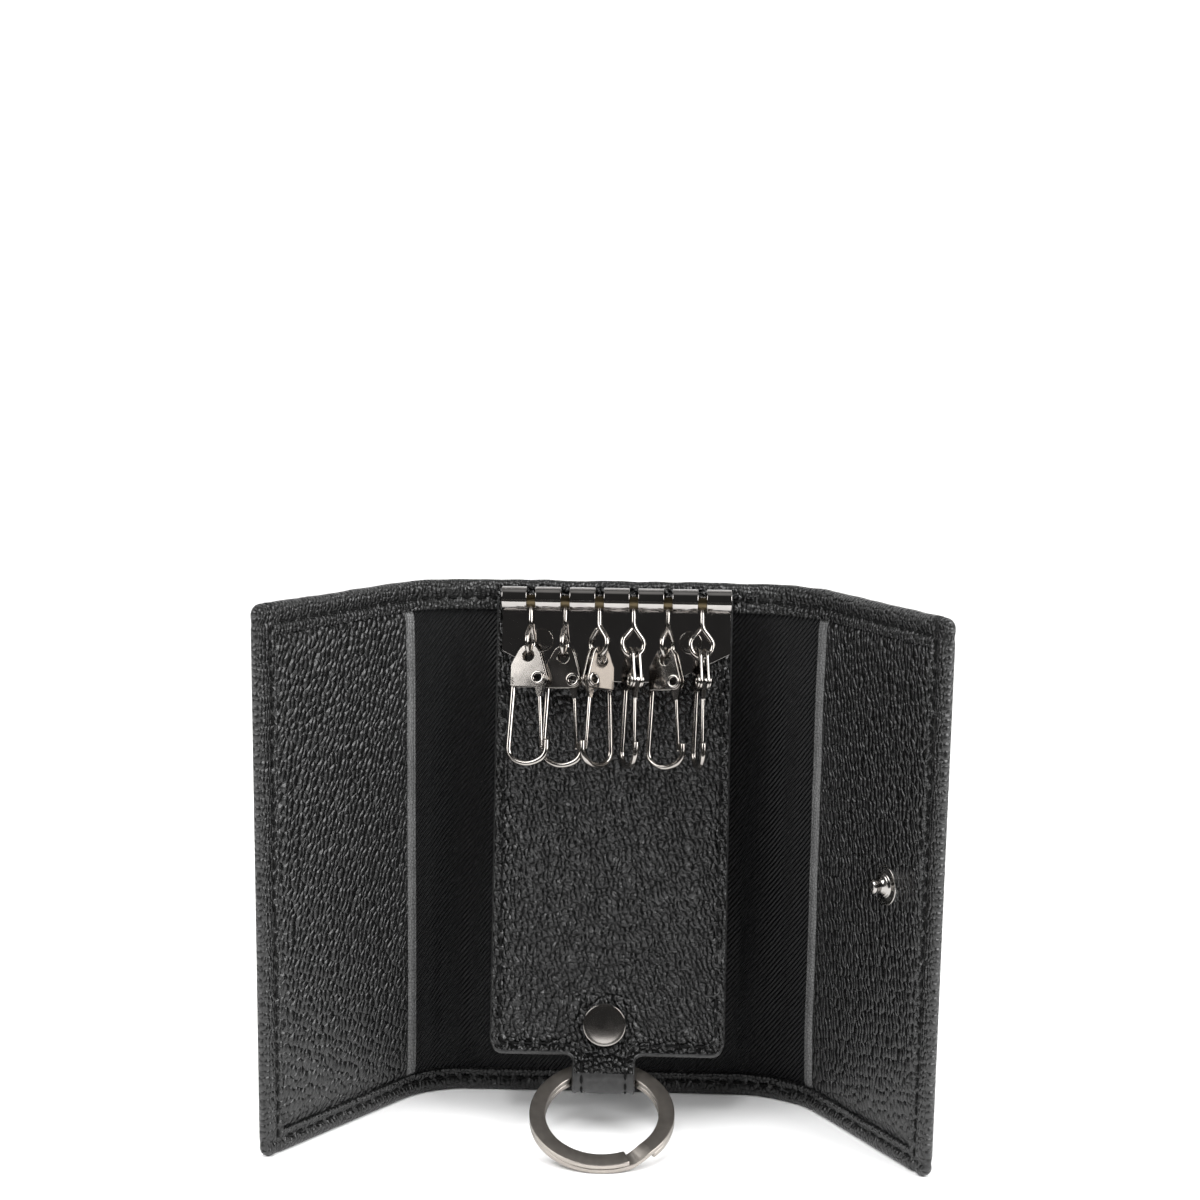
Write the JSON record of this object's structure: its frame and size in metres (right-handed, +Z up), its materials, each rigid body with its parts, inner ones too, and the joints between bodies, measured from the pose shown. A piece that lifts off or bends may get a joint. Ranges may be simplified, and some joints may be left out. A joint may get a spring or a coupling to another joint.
{
  "type": "key holder",
  "caption": "Tri-fold leather key case standing open on its bottom edges, with a key bar of snap hooks on an inner tongue and a split ring in a leather strap.",
  "frame": {"origin": "middle of the back panel's bottom edge, in the plane of the fold creases, on the surface the case stands on", "axes": "+X to the right seen from the front, +Y out of the back panel's outer face, away from the viewer, +Z up"},
  "size_m": [0.1376, 0.0492, 0.114],
  "materials": {
    "leather": "charcoal black, pebbled grain with a light sheen",
    "pocket_leather": "charcoal black, fine pebbled grain",
    "tongue_leather": "charcoal black, pebbled grain with a light sheen",
    "tongue_filler": "black split leather",
    "twill": "black diagonal twill, matt",
    "gunmetal": "dark polished nickel, mirror bright",
    "rivet_metal": "dark nickel, bright",
    "brass_drum": "plain brass, lightly polished",
    "hook_metal": "dark polished nickel",
    "ring_metal": "warm grey nickel, satin"
  },
  "bodies": {
    "case_back": {"back_shell": "leather", "back_lining": "twill"},
    "left_spine": {"left_spine_shell": "leather", "left_spine_lining": "twill"},
    "left_wing": {"left_wing_shell": "leather", "left_wing_lining": "twill", "left_pocket": "pocket_leather", "snap_socket": "gunmetal", "snap_socket_post": "rivet_metal"},
    "right_spine": {"right_spine_shell": "leather", "right_spine_lining": "twill"},
    "right_wing": {"right_wing_shell": "leather", "right_wing_lining": "twill", "right_pocket": "pocket_leather", "snap_stud": "gunmetal", "snap_stud_post": "rivet_metal"},
    "tongue": {"tongue_front": "tongue_leather", "tongue_core": "tongue_filler", "tongue_back": "tongue_leather", "key_plate": "gunmetal", "plate_rivets": "gunmetal", "plate_rivet_backs": "rivet_metal", "strap_rivet_cap": "gunmetal", "strap_rivet_post": "rivet_metal"},
    "ring": {"split_ring": "ring_metal"},
    "swivel_body_1": {"swivel_1": "brass_drum"},
    "eye_body_1": {"eye_1": "hook_metal"},
    "hook_body_1": {"hook_1": "hook_metal", "hook_1_rivet": "rivet_metal"},
    "gate_body_1": {"gate_1": "hook_metal"},
    "swivel_body_2": {"swivel_2": "brass_drum"},
    "eye_body_2": {"eye_2": "hook_metal"},
    "hook_body_2": {"hook_2": "hook_metal", "hook_2_rivet": "rivet_metal"},
    "gate_body_2": {"gate_2": "hook_metal"},
    "swivel_body_3": {"swivel_3": "brass_drum"},
    "eye_body_3": {"eye_3": "hook_metal"},
    "hook_body_3": {"hook_3": "hook_metal", "hook_3_rivet": "rivet_metal"},
    "gate_body_3": {"gate_3": "hook_metal"},
    "swivel_body_4": {"swivel_4": "brass_drum"},
    "eye_body_4": {"eye_4": "hook_metal"},
    "hook_body_4": {"hook_4": "hook_metal", "hook_4_rivet": "rivet_metal"},
    "gate_body_4": {"gate_4": "hook_metal"},
    "swivel_body_5": {"swivel_5": "brass_drum"},
    "eye_body_5": {"eye_5": "hook_metal"},
    "hook_body_5": {"hook_5": "hook_metal", "hook_5_rivet": "rivet_metal"},
    "gate_body_5": {"gate_5": "hook_metal"},
    "swivel_body_6": {"swivel_6": "brass_drum"},
    "eye_body_6": {"eye_6": "hook_metal"},
    "hook_body_6": {"hook_6": "hook_metal", "hook_6_rivet": "rivet_metal"},
    "gate_body_6": {"gate_6": "hook_metal"}
  },
  "joints": [
    {"name": "left_fold", "type": "hinge", "parent": "case_back", "child": "left_spine", "pos_m": [-0.03488, 0, 0.057], "axis": [0, 0, 1], "range_deg": [-27.7, 29]},
    {"name": "left_fold_outer", "type": "hinge", "parent": "left_spine", "child": "left_wing", "pos_m": [-0.04197, -0.00372, 0.057], "axis": [0, 0, 1], "range_deg": [-27.7, 29]},
    {"name": "right_fold", "type": "hinge", "parent": "case_back", "child": "right_spine", "pos_m": [0.03285, 0, 0.057], "axis": [0, 0, -1], "range_deg": [-30.4, 31]},
    {"name": "right_fold_outer", "type": "hinge", "parent": "right_spine", "child": "right_wing", "pos_m": [0.0426, -0.00572, 0.057], "axis": [0, 0, -1], "range_deg": [-30.4, 31]},
    {"name": "tongue_swing", "type": "hinge", "parent": "case_back", "child": "tongue", "pos_m": [0, -0.0003, 0.113], "axis": [1, 0, 0], "range_deg": [-94, 8]},
    {"name": "ring_swing", "type": "hinge", "parent": "tongue", "child": "ring", "pos_m": [-0.0006, -0.02124, 0.01223], "axis": [1, 0, 0], "range_deg": [-95, 65]},
    {"name": "swivel_1_swing", "type": "hinge", "parent": "tongue", "child": "swivel_body_1", "pos_m": [-0.0175, -0.00576, 0.11102], "axis": [1, 0, 0], "range_deg": [-90, 0]},
    {"name": "eye_1_turn", "type": "hinge", "parent": "swivel_body_1", "child": "eye_body_1", "pos_m": [-0.0175, -0.00576, 0.11102], "axis": [0, 0.3584, 0.9336], "range_deg": [-45, 6]},
    {"name": "hook_1_swing", "type": "hinge", "parent": "eye_body_1", "child": "hook_body_1", "pos_m": [-0.0175, -0.00999, 0.1], "axis": [0.2419, 0.9058, -0.3477], "range_deg": [-45, 40]},
    {"name": "gate_1_open", "type": "hinge", "parent": "hook_body_1", "child": "gate_body_1", "pos_m": [-0.01536, -0.01239, 0.09525], "axis": [0.2419, 0.9058, -0.3477], "range_deg": [0, 24]},
    {"name": "swivel_2_swing", "type": "hinge", "parent": "tongue", "child": "swivel_body_2", "pos_m": [-0.01034, -0.00576, 0.11102], "axis": [1, 0, 0], "range_deg": [-1, 0]},
    {"name": "eye_2_turn", "type": "hinge", "parent": "swivel_body_2", "child": "eye_body_2", "pos_m": [-0.01034, -0.00576, 0.11102], "axis": [0, 0.289, 0.9573], "range_deg": [-40, 5]},
    {"name": "hook_2_swing", "type": "hinge", "parent": "eye_body_2", "child": "hook_body_2", "pos_m": [-0.01034, -0.00917, 0.09972], "axis": [0.2079, 0.9364, -0.2827], "range_deg": [-3, 28]},
    {"name": "gate_2_open", "type": "hinge", "parent": "hook_body_2", "child": "gate_body_2", "pos_m": [-0.00818, -0.01114, 0.09478], "axis": [0.2079, 0.9364, -0.2827], "range_deg": [0, 24]},
    {"name": "swivel_3_swing", "type": "hinge", "parent": "tongue", "child": "swivel_body_3", "pos_m": [-0.00318, -0.00576, 0.11102], "axis": [1, 0, 0], "range_deg": [-90, 0]},
    {"name": "eye_3_turn", "type": "hinge", "parent": "swivel_body_3", "child": "eye_body_3", "pos_m": [-0.00318, -0.00576, 0.11102], "axis": [0, 0.3123, 0.95], "range_deg": [-5, 30]},
    {"name": "hook_3_swing", "type": "hinge", "parent": "eye_body_3", "child": "hook_body_3", "pos_m": [-0.00318, -0.00944, 0.09981], "axis": [0.7193, -0.6599, 0.217], "range_deg": [-45, 1]},
    {"name": "gate_3_open", "type": "hinge", "parent": "hook_body_3", "child": "gate_body_3", "pos_m": [-0.00471, -0.01261, 0.09527], "axis": [0.7193, -0.6599, 0.217], "range_deg": [0, 24]},
    {"name": "swivel_4_swing", "type": "hinge", "parent": "tongue", "child": "swivel_body_4", "pos_m": [0.00398, -0.00576, 0.11102], "axis": [1, 0, 0], "range_deg": [-90, 0]},
    {"name": "eye_4_turn", "type": "hinge", "parent": "swivel_body_4", "child": "eye_body_4", "pos_m": [0.00398, -0.00576, 0.11102], "axis": [0, 0.3256, 0.9455], "range_deg": [-45, 12]},
    {"name": "hook_4_swing", "type": "hinge", "parent": "eye_body_4", "child": "hook_body_4", "pos_m": [0.00398, -0.0096, 0.09986], "axis": [0.9336, 0.3388, -0.1167], "range_deg": [-45, 3]},
    {"name": "gate_4_open", "type": "hinge", "parent": "hook_body_4", "child": "gate_body_4", "pos_m": [0.00466, -0.01303, 0.09531], "axis": [0.9336, 0.3388, -0.1167], "range_deg": [0, 24]},
    {"name": "swivel_5_swing", "type": "hinge", "parent": "tongue", "child": "swivel_body_5", "pos_m": [0.01114, -0.00576, 0.11102], "axis": [1, 0, 0], "range_deg": [-90, 0]},
    {"name": "eye_5_turn", "type": "hinge", "parent": "swivel_body_5", "child": "eye_body_5", "pos_m": [0.01114, -0.00576, 0.11102], "axis": [0, 0.2723, 0.9622], "range_deg": [-15, 25]},
    {"name": "hook_5_swing", "type": "hinge", "parent": "eye_body_5", "child": "hook_body_5", "pos_m": [0.01114, -0.00897, 0.09967], "axis": [0.5, 0.8333, -0.2358], "range_deg": [-9, 10]},
    {"name": "gate_5_open", "type": "hinge", "parent": "hook_body_5", "child": "gate_body_5", "pos_m": [0.01305, -0.01148, 0.09487], "axis": [0.5, 0.8333, -0.2358], "range_deg": [0, 24]},
    {"name": "swivel_6_swing", "type": "hinge", "parent": "tongue", "child": "swivel_body_6", "pos_m": [0.0183, -0.00576, 0.11102], "axis": [1, 0, 0], "range_deg": [-90, 0]},
    {"name": "eye_6_turn", "type": "hinge", "parent": "swivel_body_6", "child": "eye_body_6", "pos_m": [0.0183, -0.00576, 0.11102], "axis": [0, 0.3256, 0.9455], "range_deg": [-45, 45]},
    {"name": "hook_6_swing", "type": "hinge", "parent": "eye_body_6", "child": "hook_body_6", "pos_m": [0.0183, -0.0096, 0.09986], "axis": [0.9744, 0.2127, -0.0732], "range_deg": [-45, 3]},
    {"name": "gate_6_open", "type": "hinge", "parent": "hook_body_6", "child": "gate_body_6", "pos_m": [0.01872, -0.01311, 0.09534], "axis": [0.9744, 0.2127, -0.0732], "range_deg": [0, 24]}
  ],
  "couplings": [
    {"joint": "left_fold_outer", "follows": "left_fold", "ratio": 1},
    {"joint": "right_fold_outer", "follows": "right_fold", "ratio": 1}
  ]
}
